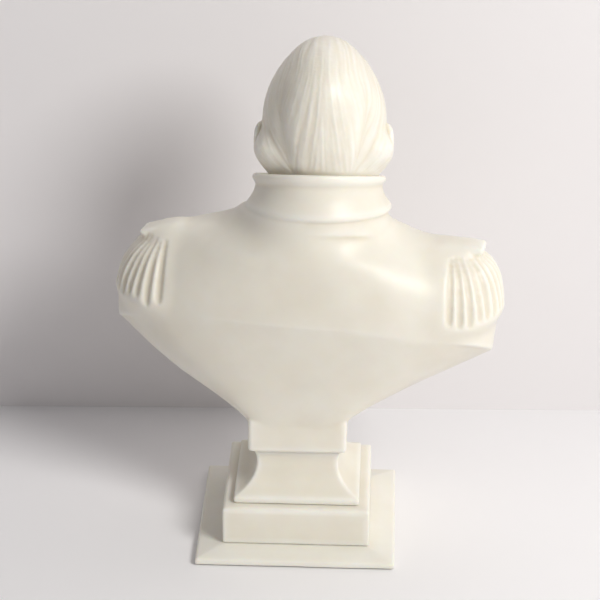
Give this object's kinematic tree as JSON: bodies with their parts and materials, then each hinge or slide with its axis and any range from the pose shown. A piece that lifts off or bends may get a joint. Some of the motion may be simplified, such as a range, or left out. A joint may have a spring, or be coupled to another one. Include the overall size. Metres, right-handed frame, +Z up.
{
  "type": "portrait bust on a square socle",
  "caption": "Ivory-white desk bust of a uniformed figure with standing collar and fringed epaulettes, on a stepped square socle.",
  "frame": {"origin": "centre of the felt's underside, where the socle stands", "axes": "+Z up; the figure faces -Y, so its right shoulder is at -X"},
  "size_m": [0.1333, 0.0698, 0.18],
  "materials": {
    "stone": "satin, ivory bonded marble",
    "steel": "zinc plated",
    "brass": "turned",
    "felt": "pressed wool felt"
  },
  "bodies": {
    "root": {"head": "stone", "neck_dowel": "steel", "torso": "stone", "foot_insert": "brass", "tie_stud": "steel", "scotia_block": "stone", "die_block": "stone", "plinth_slab": "stone", "clamp_washer": "steel", "spring_washer": "steel", "clamp_nut": "steel", "register_pins": "steel", "felt_base": "felt"}
  },
  "joints": []
}
